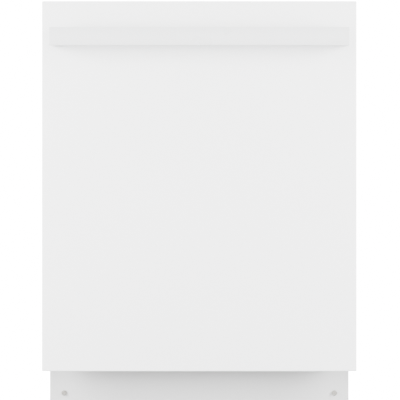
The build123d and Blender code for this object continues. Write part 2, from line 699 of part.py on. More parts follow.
def junction_box():
    """The mains terminal box: a folded steel box with a conduit hole underneath and a screwed lid."""
    x0, x1 = BOX_X
    y0, y1 = BOX_Y
    shell = block(x0, x1, y0, y1, 41.5, 100) - block(x0 + 1.5, x1 - 1.5, y0 + 1.5, y1 - 1.5, 43, 101)
    y = (y0 + y1) / 2
    shell -= rod((KNOCKOUT_X, y, 38), (KNOCKOUT_X, y, 46), KNOCKOUT_R)
    lid = block(x0 - 1, x1, y0 - 1, y1 + 1, 100, 101.5)
    screw = rod(((x0 + x1) / 2, y0 + 12, 101.5), ((x0 + x1) / 2, y0 + 12, 104), 4)
    return group(shell, join([lid, screw]))


def water_riser():
    """The feed tube up the back wall and along the ceiling to the top spray arm."""
    r = 9.0
    y = TUB_BACK - TUB_SHEET - r - 1.5
    up = rod((0, y, TUB_FLOOR), (0, y, 822), r)
    over = rod((0, y, 822), (0, WASH_Y, 822), 7)
    knee = Pos(0, y, 822) * Sphere(r + 1)
    drop = rod((0, WASH_Y, TOP_ARM_Z + ARM_THICK + 0.5), (0, WASH_Y, 830), 9)
    spindle = rod((0, WASH_Y, TOP_ARM_Z - 2), (0, WASH_Y, TOP_ARM_Z + ARM_THICK + 1), 6)
    catch = rod((0, WASH_Y, TOP_ARM_Z - 4), (0, WASH_Y, TOP_ARM_Z - 0.5), 8.5)
    port = rod((0, y, MIDDLE_ARM_Z + 23), (0, y - r - 8, MIDDLE_ARM_Z + 23), 8)
    clips = [block(-16, 16, y + 2, TUB_BACK - TUB_SHEET, z, z + 10) for z in (300, 450, 680)]
    return join([up, over, knee, drop, spindle, catch, port, *clips])


def spray_arm(length, z, hub_r, bore_r, y=WASH_Y, root=21.0, tip=11.0, thick=ARM_THICK):
    """A two-ended arm: tapered hollow-looking blades, a round hub and rows of nozzles."""
    with BuildPart() as made:
        with BuildSketch(Plane.XY.offset(z)):
            with BuildLine():
                Polyline(
                    (0, root),
                    (length, tip),
                    (length, -tip),
                    (0, -root),
                    (-length, -tip),
                    (-length, tip),
                    (0, root),
                )
            make_face()
            with Locations((length, 0), (-length, 0)):
                Circle(tip)
        extrude(amount=thick)
        fillet(made.faces().sort_by(Axis.Z)[-1].edges(), 3)
    arm = Pos(0, y, 0) * made.part
    arm += rod((0, y, z), (0, y, z + thick), hub_r)
    for k in (-0.9, -0.7, -0.5, -0.33, 0.33, 0.5, 0.7, 0.9):
        x = k * length
        arm -= rod((x, y + 2, z + thick - 2), (x, y + 2, z + thick + 2), 2.2)
    return arm - rod((0, y, z - 1), (0, y, z + thick + 1), bore_r)


def lower_spray_arm():
    return spray_arm(195, LOWER_ARM_Z, 26, SPINDLE_R + RUNNING_GAP)


def middle_spray_arm():
    return spray_arm(185, MIDDLE_ARM_Z, 22, 8 + RUNNING_GAP)


def top_spray_arm():
    return spray_arm(95, TOP_ARM_Z, 17, 6 + RUNNING_GAP, root=14, tip=8)


def water_float():
    """The anti-flood float: a domed cap on a stem through the floor."""
    x, y = FLOAT_X, FLOAT_Y
    cap = Pos(x, y, TUB_FLOOR + 10.3) * Cylinder(26, 20)
    cap = fillet(cap.edges().filter_by(GeomType.CIRCLE).sort_by(Axis.Z)[-1], 8)
    return cap


FLOAT_X, FLOAT_Y = -205.0, -165.0


# ---------------------------------------------------------------- racks
def wall_x(x, y0, y1, z0, z1, pitch):
    """A wire wall across X: a rim bar on top, two rails and upright wires."""
    wires = [rod((x, y0, z1), (x, y1, z1), RIM_R)]
    for z in (z0, (z0 + z1) / 2):
        wires.append(rod((x, y0, z), (x, y1, z), WIRE_R))
    count = int((y1 - y0 - 20) // pitch)
    step = (y1 - y0 - 20) / count
    for i in range(count + 1):
        y = y0 + 10 + i * step
        wires.append(rod((x, y, z0), (x, y, z1), TINE_R))
    return join(wires)


def wall_y(y, x0, x1, z0, z1, pitch):
    """A wire wall across Y, front or back."""
    wires = [rod((x0, y, z1), (x1, y, z1), RIM_R)]
    for z in (z0, (z0 + z1) / 2):
        wires.append(rod((x0, y, z), (x1, y, z), WIRE_R))
    count = int((x1 - x0 - 20) // pitch)
    step = (x1 - x0 - 20) / count
    for i in range(count + 1):
        x = x0 + 10 + i * step
        wires.append(rod((x, y, z0), (x, y, z1), TINE_R))
    return join(wires)


def rack_floor(half, y0, y1, z, pitch):
    """The floor grid of a rack."""
    wires = []
    count = int((2 * half) // pitch)
    step = 2 * half / count
    for i in range(count + 1):
        x = -half + i * step
        wires.append(rod((x, y0, z), (x, y1, z), FINE_R))
    rows = int((y1 - y0) // pitch)
    for j in range(rows + 1):
        y = y0 + j * (y1 - y0) / rows
        wires.append(rod((-half, y, z), (half, y, z), WIRE_R))
    return join(wires)


def tine_row(x, y0, y1, z, height, pitch, lean=0.0):
    """A comb of upright tines on one wire."""
    wires = [rod((x, y0, z), (x, y1, z), WIRE_R)]
    count = int((y1 - y0 - 16) // pitch)
    step = (y1 - y0 - 16) / count
    for i in range(count + 1):
        y = y0 + 8 + i * step
        wires.append(rod((x, y, z + WIRE_R), (x, y + lean, z + height), TINE_R))
    return group(*wires)


def basket_walls(half, z0, z1, pitch, front_top):
    """Four wire walls whose ends stop just short of each other."""
    inset = 2 * RIM_R + 0.2
    left = wall_x(-half, RACK_FRONT, RACK_BACK, z0, z1, pitch)
    right = wall_x(half, RACK_FRONT, RACK_BACK, z0, z1, pitch)
    front = wall_y(RACK_FRONT + RIM_R, -half + inset / 2 + 0.2, half - inset / 2 - 0.2, z0, front_top, pitch)
    back = wall_y(RACK_BACK - RIM_R, -half + inset / 2 + 0.2, half - inset / 2 - 0.2, z0, z1, pitch)
    return [left, right, front, back]


TINE_BASE = LOWER_Z + 2 * WIRE_R
FOLD_X = 20.0
FOLD_Z = TINE_BASE + 0.4


def lower_rack():
    grid = rack_floor(LOWER_HALF, RACK_FRONT + RIM_R, RACK_BACK - RIM_R, LOWER_Z, 46)
    walls = basket_walls(LOWER_HALF, TINE_BASE, LOWER_TOP, 48, LOWER_TOP)
    combs = [tine_row(x, -180, 230, TINE_BASE, 92, 30, 6) for x in (-195, -125, -55)]
    carriers = []
    for side in (-1, 1):
        for y in WHEEL_YS:
            x = side * LOWER_HALF
            hanger = block(x - 3, x + 3, y - 9, y + 9, WHEEL_Z - 9, TINE_BASE - WIRE_R)
            axle = rod((x, y, WHEEL_Z), (x + side * 17.5, y, WHEEL_Z), 3)
            carriers.append(hanger + axle)
    return group(grid, *walls, *combs, *carriers)


def lower_wheels(y):
    """Left and right wheels of one axle line."""
    wheel = tube((LOWER_HALF + 5, y, WHEEL_Z), (LOWER_HALF + 16, y, WHEEL_Z), WHEEL_R, 3 + RUNNING_GAP)
    wheel -= tube((LOWER_HALF + 4, y, WHEEL_Z), (LOWER_HALF + 7.5, y, WHEEL_Z), 12, 6)
    return pair(wheel)


def lower_fold_tines():
    return tine_row(FOLD_X, -180, 230, FOLD_Z, 92, 30, 6)


CUTLERY = (150.0, 238.0, -178.0, 62.0)  # x0, x1, y0, y1
CUTLERY_Z = (LOWER_Z + WIRE_R + 0.3, 392.0)


def silverware_basket():
    """A three-cell cutlery basket with slotted walls and a carrying bail."""
    x0, x1, y0, y1 = CUTLERY
    z0, z1 = CUTLERY_Z
    t = 2.4
    outer = soft_block(x0, x1, y0, y1, z0, z1, 8, Axis.Z)
    box = outer
    cell = (y1 - y0 - 4 * t) / 3
    for i in range(3):
        ya = y0 + t + i * (cell + t)
        box -= block(x0 + t, x1 - t, ya, ya + cell, z0 + t, z1 + 1)
        for k in range(4):  # drain slots low and tall windows above
            yb = ya + 7 + k * (cell - 14 + 2) / 4
            box -= block(x0 - 1, x1 + 1, yb, yb + 9, z0 + 12, z0 + 52)
            box -= block(x0 - 1, x1 + 1, yb, yb + 9, z0 + 62, z1 - 14)
    for k in range(5):
        xb = x0 + 12 + k * 14
        box -= block(xb, xb + 8, y0 - 1, y1 + 1, z0 + 14, z0 + 90)
        box -= block(xb, xb + 8, y0 + 12, y1 - 12, z0 - 1, z0 + 5)
    xm = (x0 + x1) / 2
    post_a = block(xm - 4, xm + 4, y0, y0 + t, z1, z1 + 34)
    post_b = block(xm - 4, xm + 4, y1 - t, y1, z1, z1 + 34)
    bail = block(xm - 4, xm + 4, y0, y1, z1 + 30, z1 + 36)
    return join([box, post_a, post_b, bail])


GUIDE_OUT = UPPER_HALF + WIRE_R + 2.4


def upper_rail():
    """Right-hand slide rail: a channel that runs over the tub's two rollers."""
    x0, x1 = 262.0, 276.0
    z0, z1 = RAIL_MID_Z - 12, RAIL_MID_Z + 12
    outer = block(x0, x1, -217, 255, z0, z1)
    hollow = block(x0 + 1.5, x1 + 1, -220, 258, z0 + 1.5, z1 - 1.5)
    cap = block(x0, x0 + 4, -219, -217, z0, z1)
    tab = block(GUIDE_OUT, x0, -60, 120, RAIL_MID_Z - 8, RAIL_MID_Z + 8)
    return join([outer - hollow, cap, tab])


def upper_rollers(y):
    roller = tube((267, y, RAIL_MID_Z), (275.5, y, RAIL_MID_Z), ROLLER_R, 3 + RUNNING_GAP)
    return pair(roller)


def upper_rack():
    grid = rack_floor(UPPER_HALF, RACK_FRONT + RIM_R, RACK_BACK - RIM_R, UPPER_Z, 42)
    walls = basket_walls(UPPER_HALF, UPPER_Z + 2 * WIRE_R, UPPER_TOP, 46, UPPER_TOP)
    base = UPPER_Z + 2 * WIRE_R
    combs = [tine_row(x, -180, 225, base, 58, 34, 5) for x in (-150, -70, 10, 90)]
    y = WASH_Y
    manifold = rod((0, RACK_BACK + 22, MIDDLE_ARM_Z + 23), (0, y, MIDDLE_ARM_Z + 23), 6.5)
    drop = rod((0, y, MIDDLE_ARM_Z + ARM_THICK + 0.5), (0, y, UPPER_Z - WIRE_R), 11)
    spindle = rod((0, y, MIDDLE_ARM_Z - 3), (0, y, MIDDLE_ARM_Z + ARM_THICK + 1), 8)
    catch = rod((0, y, MIDDLE_ARM_Z - 5), (0, y, MIDDLE_ARM_Z - 0.5), 11)
    feed = join([manifold, drop, spindle, catch])
    guides = []
    for side in (-1, 1):  # the height adjuster's body on each side wall
        inner, outer = side * (UPPER_HALF + WIRE_R), side * GUIDE_OUT
        guides.append(block(inner, outer, -50, 110, RAIL_MID_Z - 34, RAIL_MID_Z + 34))
    return group(grid, *walls, *combs, feed, *guides)


SHELF_Z = 672.0


def cup_shelf():
    """The fold-up cup shelf along the upper rack's right side."""
    x0, x1 = 132.0, UPPER_HALF - RIM_R - 4
    y0, y1 = -150.0, 160.0
    spine = rod((x1, y0, SHELF_Z), (x1, y1, SHELF_Z), 2.6)
    edge = rod((x0, y0, SHELF_Z), (x0, y1, SHELF_Z), 2.2)
    bars = [
        rod((x0, y, SHELF_Z), (x1, y, SHELF_Z), TINE_R) for y in [y0 + 10 + i * 29 for i in range(11)]
    ]
    return join([spine, edge, *bars])


# ---------------------------------------------------------------- export
NODES = {
    "door_panel": door_panel,
    "door_liner": door_liner,
    "door_insulation": door_insulation,
    "control_console": control_console,
    "handle": handle,
    "bottom_seal": bottom_seal,
    "dispenser_housing": dispenser_housing,
    "dispenser_lid": dispenser_lid,
    "rinse_aid_cap": rinse_aid_cap,
    "door_vent": door_vent,
    "hinge_arms": lambda: pair(hinge_arm()),
    "latch_housing": latch_housing,
    "latch_hook": latch_hook,
    "arm_screws": arm_screws,
    "tub": tub,
    "tub_insulation": tub_insulation,
    "door_gasket": door_gasket,
    "heater_element": heater_element,
    "base_frame": base_frame,
    "kick_plate": kick_plate,
    "kick_screws": kick_screws,
    "mounting_brackets": mounting_brackets,
    "latch_strike": latch_strike,
    "hinge_brackets": lambda: pair(hinge_bracket()),
    "spring_anchors": lambda: pair(spring_anchor()),
    "balance_cables": lambda: pair(balance_cable()),
    "spring_links": lambda: pair(spring_link()),
    "door_springs": lambda: pair(door_spring()),
    "sump": sump,
    "filter_plate": filter_plate,
    "filter_cylinder": filter_cylinder,
    "wash_pump": wash_pump,
    "drain_pump": drain_pump,
    "drain_outlet": drain_outlet,
    "water_hoses": water_hoses,
    "inlet_valve": inlet_valve,
    "junction_box": junction_box,
    "water_riser": water_riser,
    "lower_spray_arm": lower_spray_arm,
    "middle_spray_arm": middle_spray_arm,
    "top_spray_arm": top_spray_arm,
    "water_float": water_float,
    "lower_rack": lower_rack,
    "lower_front_wheels": lambda: lower_wheels(WHEEL_YS[0]),
    "lower_rear_wheels": lambda: lower_wheels(WHEEL_YS[1]),
    "lower_fold_tines": lower_fold_tines,
    "silverware_basket": silverware_basket,
    "upper_rails": lambda: pair(upper_rail()),
    "upper_front_rollers": lambda: upper_rollers(ROLLER_YS[0]),
    "upper_rear_rollers": lambda: upper_rollers(ROLLER_YS[1]),
    "upper_rack": upper_rack,
    "cup_shelf": cup_shelf,
    "front_left_leg": lambda: leg(-LEG_X, LEG_FRONT_Y),
    "front_right_leg": lambda: leg(LEG_X, LEG_FRONT_Y),
    "rear_left_leg": lambda: leg(-LEG_X, LEG_BACK_Y),
    "rear_right_leg": lambda: leg(LEG_X, LEG_BACK_Y),
}
for name, x in zip(BUTTON_NAMES, BUTTON_XS):
    NODES[name] = lambda x=x: button(x)

os.makedirs("parts", exist_ok=True)
for name, make in NODES.items():
    export_step(make(), f"parts/{name}.step")
print(len(NODES), "nodes")
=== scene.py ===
"""Looks for the built-in dishwasher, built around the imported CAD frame.

Everything is in metres in the frame's axes: +Z up, the door faces -Y, the floor is z = 0.
"""

import json
import math

import bmesh
import bpy
from mathutils import Matrix, Vector, noise


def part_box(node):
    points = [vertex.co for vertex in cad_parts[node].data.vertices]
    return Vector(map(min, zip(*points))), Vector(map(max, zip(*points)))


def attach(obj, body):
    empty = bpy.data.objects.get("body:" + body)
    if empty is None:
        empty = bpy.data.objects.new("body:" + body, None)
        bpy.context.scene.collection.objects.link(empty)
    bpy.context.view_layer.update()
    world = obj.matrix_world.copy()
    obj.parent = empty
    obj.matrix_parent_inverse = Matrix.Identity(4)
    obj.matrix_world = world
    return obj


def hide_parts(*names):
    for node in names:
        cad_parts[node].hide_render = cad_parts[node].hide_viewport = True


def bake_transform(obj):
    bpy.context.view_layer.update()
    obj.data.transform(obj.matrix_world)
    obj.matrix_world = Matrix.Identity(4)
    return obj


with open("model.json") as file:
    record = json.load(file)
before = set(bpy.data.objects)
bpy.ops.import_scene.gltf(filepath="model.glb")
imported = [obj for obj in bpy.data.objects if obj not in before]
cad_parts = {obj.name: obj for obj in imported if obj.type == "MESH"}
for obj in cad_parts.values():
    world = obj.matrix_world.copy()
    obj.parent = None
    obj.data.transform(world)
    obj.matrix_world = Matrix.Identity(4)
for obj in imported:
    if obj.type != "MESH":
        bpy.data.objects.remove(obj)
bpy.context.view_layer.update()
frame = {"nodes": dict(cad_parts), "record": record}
MM = 0.001

# ---------------------------------------------------------------- places taken from the frame
DOOR_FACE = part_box("door_panel")[0].y
LINK_LOW, LINK_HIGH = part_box("spring_links")
SPRING_LOW, SPRING_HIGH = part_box("door_springs")
CABLE_LOW, CABLE_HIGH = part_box("balance_cables")
HOOD_LOW, HOOD_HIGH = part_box("tub_insulation")
TUB_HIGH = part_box("tub")[1]
SIDES = ((-1, "left"), (1, "right"))

# ---------------------------------------------------------------- sizes repeated from the CAD
RACK_FRONT, RACK_BACK = -203 * MM, 250 * MM
WIRE_R, FINE_R, RIM_R, TINE_R = 2.0 * MM, 1.8 * MM, 2.8 * MM, 1.6 * MM
LOWER = {"half": 256 * MM, "floor": 264 * MM, "top": 420 * MM}
UPPER = {"half": 248 * MM, "floor": 560 * MM, "top": 690 * MM}
WHEEL_Z = 239.5 * MM
WHEEL_YS = (-110 * MM, 218 * MM)
HINGE_Y, HINGE_Z = -258 * MM, 185 * MM
MIDDLE_ARM_Y = 20 * MM
CONSOLE_TOP = 849 * MM


# ---------------------------------------------------------------- node materials
class Paint:
    """A principled material and short calls for adding nodes to it."""

    def __init__(self, name, colour, roughness, metallic=0.0, **sockets):
        self.mat = bpy.data.materials.new(name)
        self.mat.use_nodes = True
        self.tree = self.mat.node_tree
        self.shader = self.tree.nodes["Principled BSDF"]
        self.shader.inputs["Base Color"].default_value = (*colour, 1)
        self.shader.inputs["Roughness"].default_value = roughness
        self.shader.inputs["Metallic"].default_value = metallic
        for key, value in sockets.items():
            self.shader.inputs[key.replace("_", " ")].default_value = value
        self.colour = colour
        self.place = self.add("ShaderNodeTexCoord").outputs["Object"]

    def add(self, kind, **settings):
        node = self.tree.nodes.new(kind)
        for key, value in settings.items():
            setattr(node, key, value)
        return node

    def link(self, a, b):
        self.tree.links.new(a, b)

    def stretched(self, scale):
        node = self.add("ShaderNodeMapping")
        node.inputs["Scale"].default_value = scale
        self.link(self.place, node.inputs["Vector"])
        return node.outputs["Vector"]

    def noise(self, size, detail=2.0, stretch=(1, 1, 1)):
        """Noise whose features are about `size` metres across."""
        node = self.add("ShaderNodeTexNoise")
        node.inputs["Scale"].default_value = 1 / size
        node.inputs["Detail"].default_value = detail
        self.link(self.stretched(stretch), node.inputs["Vector"])
        return node.outputs["Fac"]

    def cells(self, size):
        node = self.add("ShaderNodeTexVoronoi")
        node.inputs["Scale"].default_value = 1 / size
        self.link(self.place, node.inputs["Vector"])
        return node

    def range(self, value, low, high, start=0.0, stop=1.0):
        node = self.add("ShaderNodeMapRange")
        self.link(value, node.inputs["Value"])
        node.inputs["From Min"].default_value = start
        node.inputs["From Max"].default_value = stop
        node.inputs["To Min"].default_value = low
        node.inputs["To Max"].default_value = high
        return node.outputs["Result"]

    def rough(self, value, low, high):
        self.link(self.range(value, low, high, 0.3, 0.7), self.shader.inputs["Roughness"])
        return self

    def tint(self, value, dark, light=1.0, start=0.3, stop=0.7):
        """The base colour, scaled between two factors by a value."""
        factor = self.range(value, dark, light, start, stop)
        node = self.add("ShaderNodeVectorMath", operation="SCALE")
        node.inputs[0].default_value = self.colour
        self.link(factor, node.inputs["Scale"])
        self.link(node.outputs["Vector"], self.shader.inputs["Base Color"])
        return self

    def bump(self, value, height):
        """Adds relief from a value, on top of any relief already there."""
        node = self.add("ShaderNodeBump")
        node.inputs["Distance"].default_value = height
        self.link(value, node.inputs["Height"])
        old = self.shader.inputs["Normal"].links
        if old:
            self.link(old[0].from_socket, node.inputs["Normal"])
        self.link(node.outputs["Normal"], self.shader.inputs["Normal"])
        return self


def enamel(name, colour, roughness=0.32):
    """Baked white enamel: a faint orange peel under a clear gloss."""
    p = Paint(name, colour, roughness, Coat_Weight=0.25, Coat_Roughness=0.12, Specular_IOR_Level=0.45)
    p.rough(p.noise(0.06), roughness - 0.03, roughness + 0.05)
    p.tint(p.noise(0.25), 0.992)
    return p.bump(p.noise(0.0035, 1.0), 0.00002)


def moulded(name, colour, roughness=0.45, grain=0.0006, depth=0.00003):
    """Injection-moulded plastic with a spark-eroded grain and slight flow marks."""
    p = Paint(name, colour, roughness)
    p.rough(p.noise(0.02), roughness - 0.05, roughness + 0.07)
    p.tint(p.noise(0.05, 3.0), 0.95)
    return p.bump(p.noise(grain, 2.0), depth)


def brushed(name, colour, along, roughness=0.3):
    """Stainless sheet brushed along one axis."""
    stretch = tuple(0.02 if i == along else 1.0 for i in range(3))
    p = Paint(name, colour, roughness, metallic=1.0, Anisotropic=0.5)
    grain = p.noise(0.0012, 3.0, stretch)
    p.rough(grain, roughness - 0.08, roughness + 0.12)
    p.tint(p.noise(0.09, 2.0), 0.93)
    return p.bump(grain, 0.00001)


def galvanised(name, colour):
    """Zinc-dipped sheet with its spangle of crystals."""
    p = Paint(name, colour, 0.42, metallic=0.85)
    cells = p.cells(0.011)
    p.tint(cells.outputs["Color"], 0.80, 1.05, 0.2, 0.9)
    return p.rough(p.noise(0.01), 0.34, 0.52)


def plated(name, colour, roughness=0.28):
    """Bright zinc plate, a little cloudy and handled."""
    p = Paint(name, colour, roughness, metallic=1.0)
    p.tint(p.noise(0.012, 3.0), 0.82)
    return p.rough(p.noise(0.004, 3.0), roughness - 0.08, roughness + 0.18)


def rubbery(name, colour):
    p = Paint(name, colour, 0.62, Specular_IOR_Level=0.35)
    p.rough(p.noise(0.01, 3.0), 0.55, 0.78)
    p.tint(p.noise(0.015, 2.0), 0.85)
    return p.bump(p.noise(0.0008), 0.00004)


def felted(name, colour):
    """Pressed fibre mat: flecks of light and dark fibre and a fuzzy surface."""
    p = Paint(name, colour, 0.95, Sheen_Weight=0.04, Sheen_Roughness=0.6)
    fibre = p.noise(0.0018, 6.0, (1, 0.35, 1))
    p.tint(fibre, 0.55, 1.5)
    p.bump(fibre, 0.0006)
    return p.bump(p.noise(0.02, 2.0), 0.0012)


def coated_wire(name, colour):
    """Nylon powder coat, thick and slightly pebbled."""
    p = Paint(name, colour, 0.38, Coat_Weight=0.2, Coat_Roughness=0.25)
    p.rough(p.noise(0.006), 0.32, 0.48)
    return p.bump(p.noise(0.0012, 2.0), 0.00006)


def screened(name, colour):
    """Etched stainless screen: rows of fine holes drawn as dark dots of painted shade in the surface."""
    p = Paint(name, colour, 0.4, metallic=1.0)
    cells = p.cells(0.0022)
    hole_shade = p.range(cells.outputs["Distance"], 0.12, 1.0, 0.25, 0.5)
    # painted shade: the base colour drops to a tenth at each hole's centre
    p.tint(hole_shade, 0.1, 1.0, 0.0, 1.0)
    return p.bump(hole_shade, 0.0003)


def heated(name, colour):
    """A sheathed element with straw and blue heat tints."""
    p = Paint(name, colour, 0.35, metallic=1.0)
    ramp = p.add("ShaderNodeValToRGB")
    ramp.color_ramp.elements[0].color = (0.20, 0.19, 0.24, 1)
    ramp.color_ramp.elements[1].color = (0.50, 0.42, 0.32, 1)
    p.link(p.noise(0.07, 2.0), ramp.inputs["Fac"])
    p.link(ramp.outputs["Color"], p.shader.inputs["Base Color"])
    return p


WHITE = (0.790, 0.793, 0.796)
LOOKS = {
    "door_steel": enamel("door_enamel", WHITE),
    # painted shade: the handle's white enamel is set darker than the door's to stand for the shading on the
    # bar
    "handle_paint": enamel("handle_enamel_painted_shade", (0.610, 0.615, 0.620), 0.30),
    # painted shadow: the kick plate's white enamel is set much darker to stand for the door's shadow over
    # the recessed plate
    "kick_paint": enamel("kick_enamel_painted_shadow", (0.490, 0.490, 0.490), 0.4),
    "liner_plastic": moulded("liner", (0.42, 0.43, 0.44), 0.42),
    "console_plastic": moulded("console", (0.62, 0.625, 0.63), 0.35),
    "button_plastic": moulded("button", (0.36, 0.37, 0.39), 0.25),
    "white_plastic": moulded("white_part", (0.50, 0.505, 0.51), 0.4),
    "grey_plastic": moulded("grey_part", (0.065, 0.068, 0.074), 0.42),
    "dark_plastic": moulded("dark_part", (0.008, 0.008, 0.009), 0.45),
    "blue_plastic": moulded("blue_part", (0.008, 0.035, 0.14), 0.3),
    "tub_steel": brushed("tub_steel", (0.34, 0.345, 0.355), 2),
    "galvanised": galvanised("galvanised", (0.28, 0.29, 0.30)),
    "zinc": plated("zinc", (0.36, 0.35, 0.32)),
    "spring_steel": plated("spring_steel", (0.06, 0.06, 0.065), 0.36),
    "heater_steel": heated("heater", (0.4, 0.38, 0.36)),
    "rubber": rubbery("seal_rubber", (0.012, 0.012, 0.013)),
    "hose": rubbery("hose_rubber", (0.045, 0.047, 0.05)),
    "blanket": felted("blanket_felt", (0.014, 0.014, 0.016)),
    "insulation": felted("door_felt", (0.12, 0.11, 0.095)),
    "nylon": coated_wire("rack_nylon", (0.085, 0.10, 0.12)),
    "mesh": screened("filter_screen", (0.30, 0.31, 0.32)),
}


def dress(obj, slot_name):
    """Gives an object one of the looks above in every slot."""
    if not obj.material_slots:
        obj.data.materials.append(LOOKS[slot_name].mat)
    for slot in obj.material_slots:
        slot.material = LOOKS[slot_name].mat


for part in frame["record"]["subparts"]:
    dress(frame["nodes"][part["node"]], part["material_slot"])


# ---------------------------------------------------------------- wire work
def corner(a, b, c, radius, steps=5):
    """Points of a round bend at b, between straight runs from a and to c."""
    a, b, c = Vector(a), Vector(b), Vector(c)
    u, v = (a - b).normalized(), (c - b).normalized()
    half = u.angle(v) / 2
    reach = radius / math.tan(half)
    centre = b + (u + v).normalized() * (radius / math.sin(half))
    start, end = b + u * reach - centre, b + v * reach - centre
    return [centre + start.slerp(end, i / steps) * radius for i in range(steps + 1)]


def bent(points, radius):
    """A polyline with round bends at its inner points."""
    out = [Vector(points[0])]
    for a, b, c in zip(points, points[1:], points[2:]):
        out += corner(a, b, c, radius)
    return out + [Vector(points[-1])]


def loop(points, radius):
    """A closed polyline with round bends at every point."""
    n = len(points)
    out = []
    for i in range(n):
        out += corner(points[i - 1], points[i], points[(i + 1) % n], radius)
    return out


def wires(name, runs, material, resolution=2):
    """One curve object from many runs of (points, radius or radii, closed)."""
    data = bpy.data.curves.new(name, "CURVE")
    data.dimensions = "3D"
    data.bevel_depth = 1.0  # so that each point's radius is in metres
    data.bevel_resolution = resolution
    data.use_fill_caps = True
    for points, radius, closed in runs:
        spline = data.splines.new("POLY")
        spline.points.add(len(points) - 1)
        radii = radius if isinstance(radius, list) else [radius] * len(points)
        for p, co, r in zip(spline.points, points, radii):
            p.co = (*co, 1)
            p.radius = r
        spline.use_cyclic_u = closed
    obj = bpy.data.objects.new(name, data)
    bpy.context.scene.collection.objects.link(obj)
    dress(obj, material)
    return obj


def as_mesh(curve):
    """The curve's finished surface as a plain mesh object of the same name."""
    name, materials = curve.name, list(curve.data.materials)
    depsgraph = bpy.context.evaluated_depsgraph_get()
    mesh = bpy.data.meshes.new_from_object(curve.evaluated_get(depsgraph))
    bpy.data.objects.remove(curve)
    obj = bpy.data.objects.new(name, mesh)
    if not mesh.materials:
        for m in materials:
            mesh.materials.append(m)
    for face in mesh.polygons:
        face.use_smooth = True
    bpy.context.scene.collection.objects.link(obj)
    return obj


def spread(low, high, pitch):
    """Even places from low to high, about pitch apart."""
    count = round((high - low) / pitch)
    return [low + (high - low) * i / count for i in range(count + 1)]


BASKET_PITCH = 24 * MM  # between hoops, and from the outer hoops to the corners
HOOP_BEND, RIM_BEND = 16 * MM, 18 * MM
HOOP_LIFT = 0.2 * MM  # of the cross hoops above the rack's stated floor
BELT_LIFT = 4 * MM  # of the middle loop above half height
DIP_PLACE, DIP_DEPTH = 0.62, 0.86  # of the half width, and of the hoops' own dip


def basket(size, dip):
    """The runs of a bent-wire basket: hoops both ways, a middle loop and a rim that dips at the front."""
    half, floor_z, top = size["half"], size["floor"], size["top"]
    y0, y1 = RACK_FRONT + RIM_R, RACK_BACK - RIM_R
    low = floor_z + HOOP_LIFT
    runs = []
    for y in spread(y0 + BASKET_PITCH, y1 - BASKET_PITCH, BASKET_PITCH):
        path = [(-half, y, top), (-half, y, low), (half, y, low), (half, y, top)]
        runs.append((bent(path, HOOP_BEND), FINE_R, False))
    low -= 2 * FINE_R
    for x in spread(-half + BASKET_PITCH, half - BASKET_PITCH, BASKET_PITCH):
        front_top = top - dip * (1 - (x / half) ** 4)
        path = [(x, y0, front_top), (x, y0, low), (x, y1, low), (x, y1, top)]
        runs.append((bent(path, HOOP_BEND), FINE_R, False))
    belt = (floor_z + top) / 2 + BELT_LIFT
    for z, radius, out, drop in ((top, RIM_R, 0, dip * DIP_DEPTH), (belt, WIRE_R, FINE_R + WIRE_R, 0)):
        h, ya, yb = half + out, y0 - out, y1 + out
        inner = h * DIP_PLACE
        front = [(-h, ya, z), (-inner, ya, z - drop), (inner, ya, z - drop), (h, ya, z)]
        back = [(h, yb, z), (-h, yb, z)]
        runs.append((loop(front + back, RIM_BEND), radius, True))
    return runs


COMB_END = 8 * MM  # from the wire's end to the first tine


def comb(x, y0, y1, base, height, pitch, lean):
    """A row of leaning tines on one wire along Y."""
    runs = [([Vector((x, y0, base)), Vector((x, y1, base))], WIRE_R, False)]
    for y in spread(y0 + COMB_END, y1 - COMB_END, pitch):
        foot, tip = Vector((x, y, base)), Vector((x, y + lean, base + height))
        runs.append(([foot, tip], TINE_R, False))
    return runs


def beads(name, centres, radius, material, body):
    """Round nylon tips on the ends of wires, as one piece."""
    shape = bmesh.new()
    for centre in centres:
        bmesh.ops.create_icosphere(shape, subdivisions=2, radius=radius, matrix=Matrix.Translation(centre))
    return finished(name, shape, material, body)


def finished(name, shape, material, body, smooth=True):
    """Turns a bmesh into an object that rides on a body."""
    mesh = bpy.data.meshes.new(name)
    shape.to_mesh(mesh)
    shape.free()
    for face in mesh.polygons:
        face.use_smooth = smooth
    obj = bpy.data.objects.new(name, mesh)
    bpy.context.scene.collection.objects.link(obj)
    dress(obj, material)
    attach(obj, body)
    return obj


def tips(runs):
    """Where the tines of a comb's runs end."""
    return [points[-1] for points, radius, closed in runs if radius == TINE_R]


TIP_R = TINE_R * 1.35
LOWER_BASE = LOWER["floor"] + 2 * WIRE_R
UPPER_BASE = UPPER["floor"] + 2 * WIRE_R
FOLD_LIFT = 0.4 * MM  # of the folding row's wire above the fixed rows'
LOWER_DIP, UPPER_DIP = 34 * MM, 22 * MM
LOWER_COMB_Y, UPPER_COMB_Y = (-180 * MM, 230 * MM), (-180 * MM, 225 * MM)
LOWER_TINES = (92 * MM, 30 * MM, 6 * MM)  # height, pitch and lean
UPPER_TINES = (58 * MM, 34 * MM, 5 * MM)
LOWER_COMB_XS = (-195 * MM, -125 * MM, -55 * MM)
UPPER_COMB_XS = (-150 * MM, -70 * MM, 10 * MM, 90 * MM)
FOLD_COMB_X = 20 * MM


